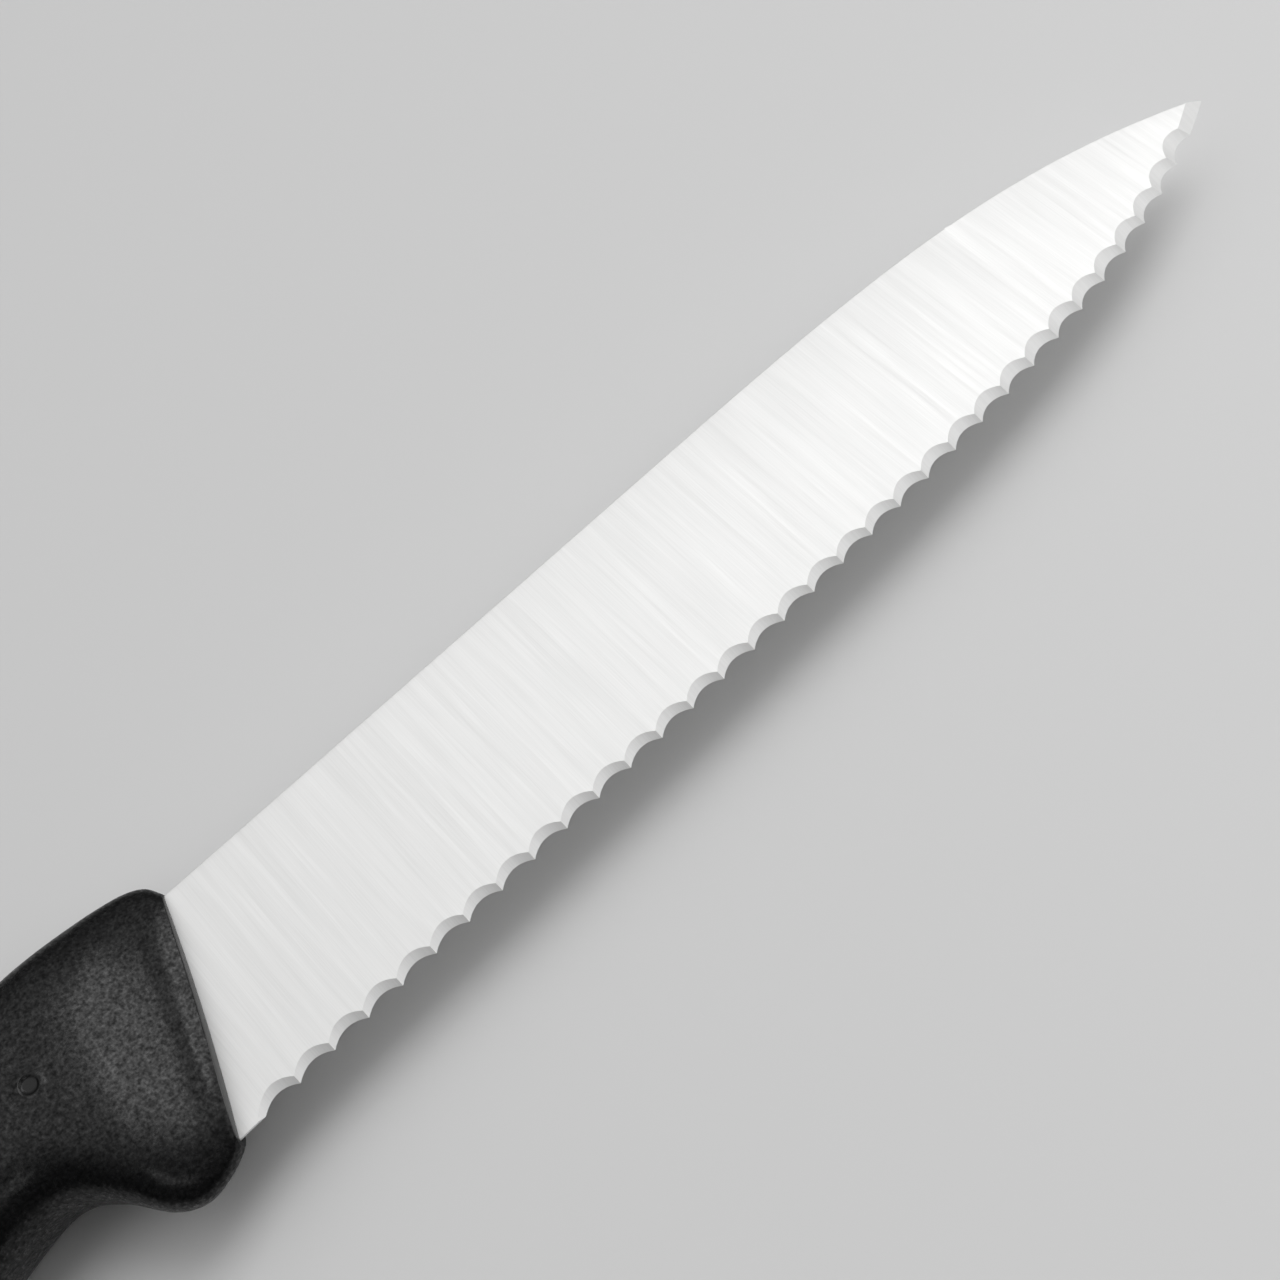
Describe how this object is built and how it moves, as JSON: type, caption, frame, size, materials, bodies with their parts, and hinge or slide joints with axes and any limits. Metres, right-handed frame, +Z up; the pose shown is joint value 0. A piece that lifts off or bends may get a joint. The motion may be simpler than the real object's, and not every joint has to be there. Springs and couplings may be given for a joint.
{
  "type": "vegetable knife",
  "caption": "Pointed kitchen knife with a stamped, flat-ground steel blade, a scalloped edge ground from one side and a moulded plastic handle with a finger guard.",
  "frame": {"origin": "under the middle of the knife's box, on the surface that it lies on, with its left side down", "axes": "+X towards the tip, +Y towards the spine, +Z up, out of the right side, into which the scallops are ground"},
  "size_m": [0.2152, 0.0234, 0.014],
  "materials": {
    "blade_steel": "bright stainless steel, ground in fine lines from the spine to the edge",
    "handle_plastic": "black moulded plastic with a fine leather grain"
  },
  "bodies": {
    "root": {"blade": "blade_steel", "handle": "handle_plastic"}
  },
  "joints": []
}
